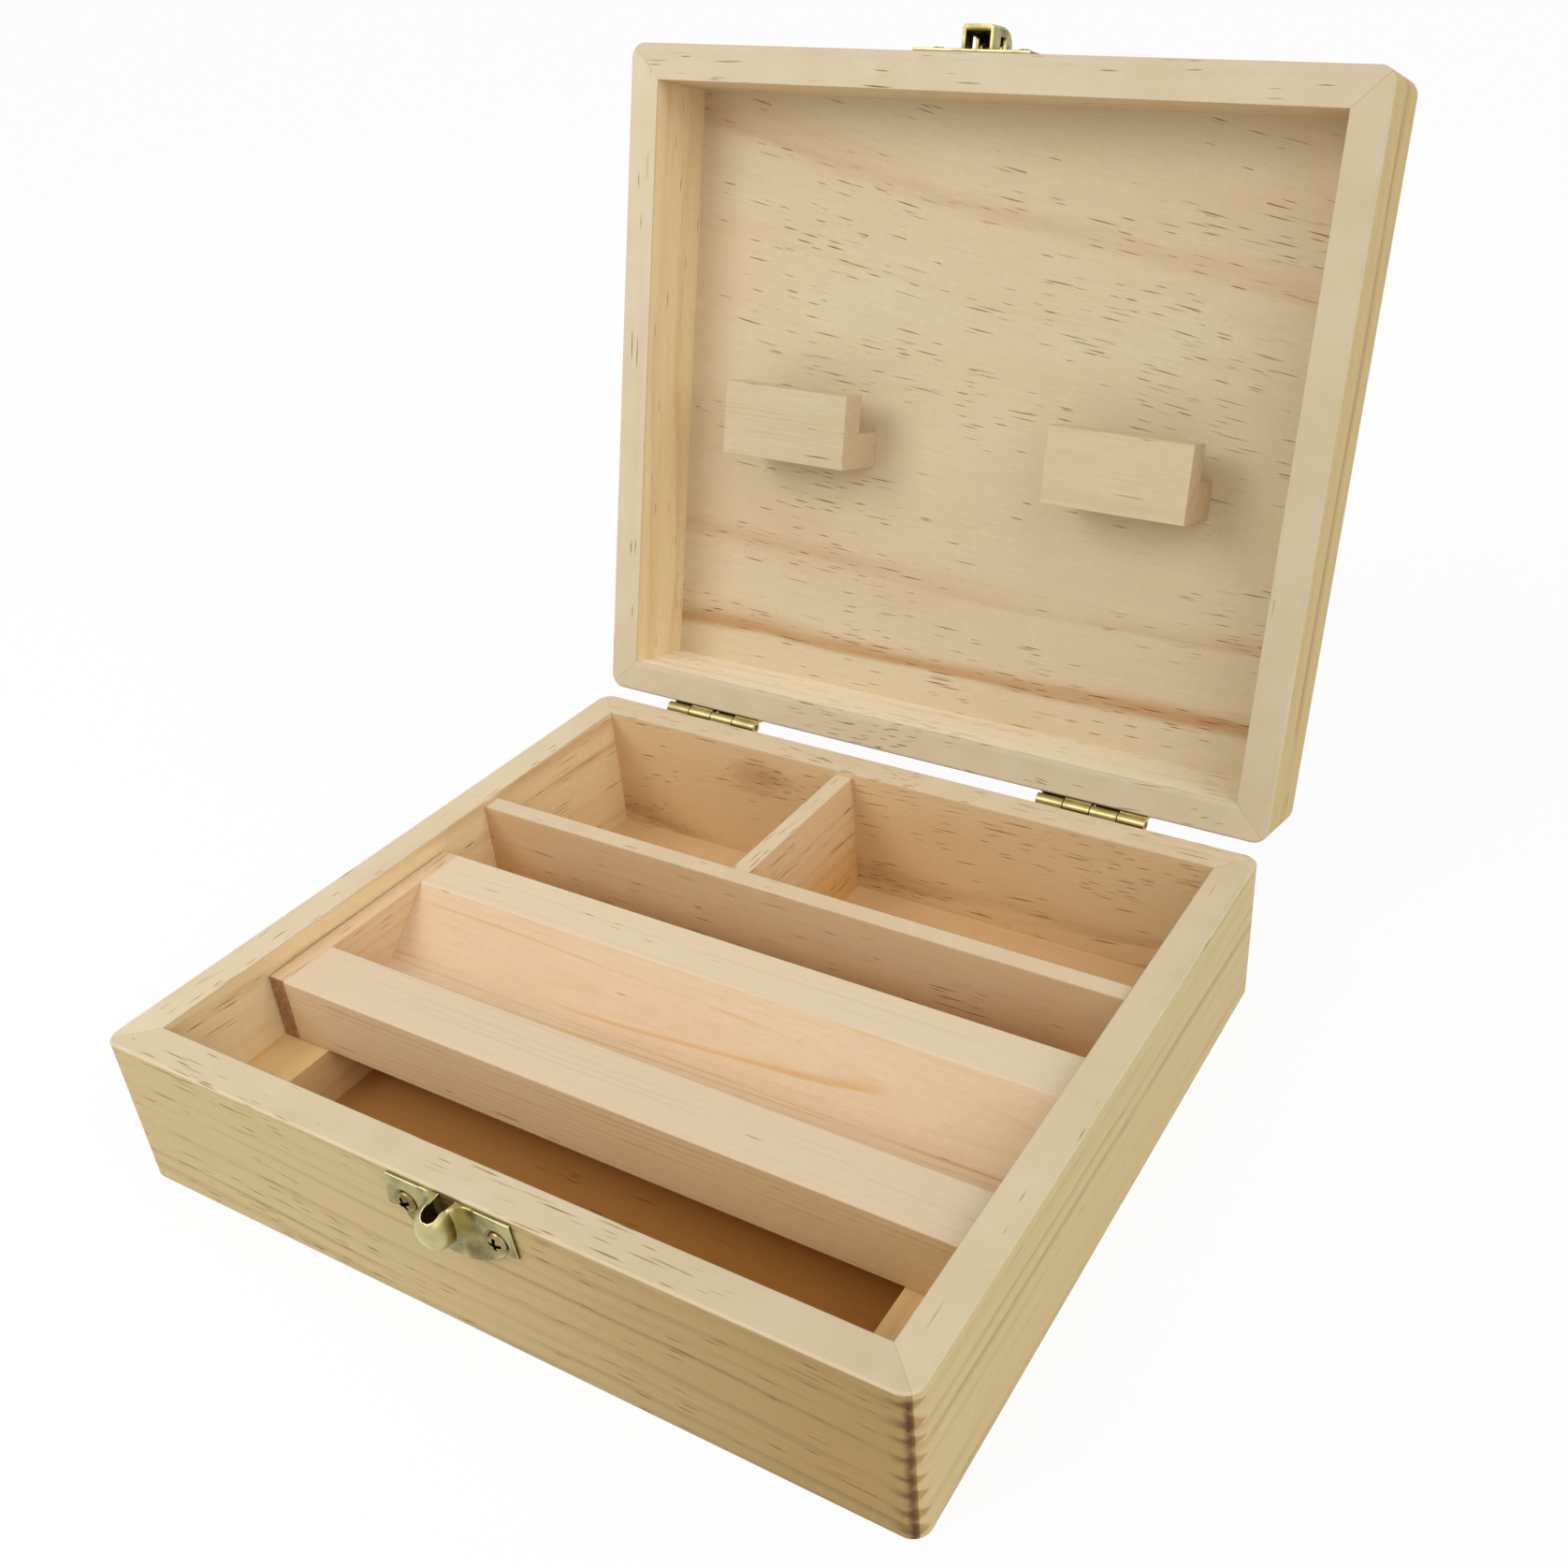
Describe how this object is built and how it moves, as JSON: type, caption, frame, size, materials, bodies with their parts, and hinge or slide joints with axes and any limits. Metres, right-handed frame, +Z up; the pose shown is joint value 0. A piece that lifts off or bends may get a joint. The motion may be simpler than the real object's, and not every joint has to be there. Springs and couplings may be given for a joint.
{
  "type": "wooden storage box",
  "caption": "Shallow hinged pine box with a sliding tray, divided rear compartments, two clips inside the lid and a brass clasp.",
  "frame": {"origin": "centre of the underside of the base", "axes": "+X to the right seen from the clasp side, +Y from the clasp side to the hinge side, +Z up; the lid is stored open"},
  "size_m": [0.204, 0.2583, 0.2189],
  "materials": {
    "base_wood": "bare sanded pine, straight grain",
    "lid_wood": "bare sanded pine, pale",
    "panel_wood": "bare sanded pine, plain sawn with fine resin dashes",
    "divider_wood": "bare sanded pine",
    "clip_wood": "bare sanded pine",
    "tray_wood": "bare planed pine, slightly pink",
    "brass": "antique brass plate, satin"
  },
  "bodies": {
    "base": {"front_wall": "base_wood", "right_wall": "base_wood", "back_wall": "base_wood", "left_wall": "base_wood", "bottom_panel": "panel_wood", "long_divider": "divider_wood", "short_divider": "divider_wood", "left_ledge": "divider_wood", "right_ledge": "divider_wood", "catch_plate": "brass", "catch_screws": "brass", "left_hinge_base_leaf": "brass", "right_hinge_base_leaf": "brass", "left_hinge_pin": "brass", "right_hinge_pin": "brass", "hinge_base_screws": "brass"},
    "lid": {"lid_front_wall": "lid_wood", "lid_right_wall": "lid_wood", "lid_back_wall": "lid_wood", "lid_left_wall": "lid_wood", "lid_panel": "panel_wood", "left_clip": "clip_wood", "right_clip": "clip_wood", "left_hinge_lid_leaf": "brass", "right_hinge_lid_leaf": "brass", "hinge_lid_screws": "brass", "hasp_plate": "brass", "hasp_screws": "brass", "hasp_pin": "brass"},
    "hood": {"hasp_hood": "brass"},
    "tray": {"tray_front_rail": "tray_wood", "tray_wedge": "tray_wood", "tray_end_board": "tray_wood", "tray_floor": "tray_wood"}
  },
  "joints": [
    {"name": "lid_hinge", "type": "hinge", "parent": "base", "child": "lid", "pos_m": [0, 0.091, 0.0397], "axis": [1, 0, 0], "range_deg": [0, 105]},
    {"name": "hood_pivot", "type": "hinge", "parent": "lid", "child": "hood", "pos_m": [-0.001, 0.15158, 0.21246], "axis": [-1, 0, 0], "range_deg": [0, 35]},
    {"name": "tray_slide", "type": "slide", "parent": "base", "child": "tray", "axis": [0, 1, 0], "range_m": [-0.028, 0.0172]}
  ]
}
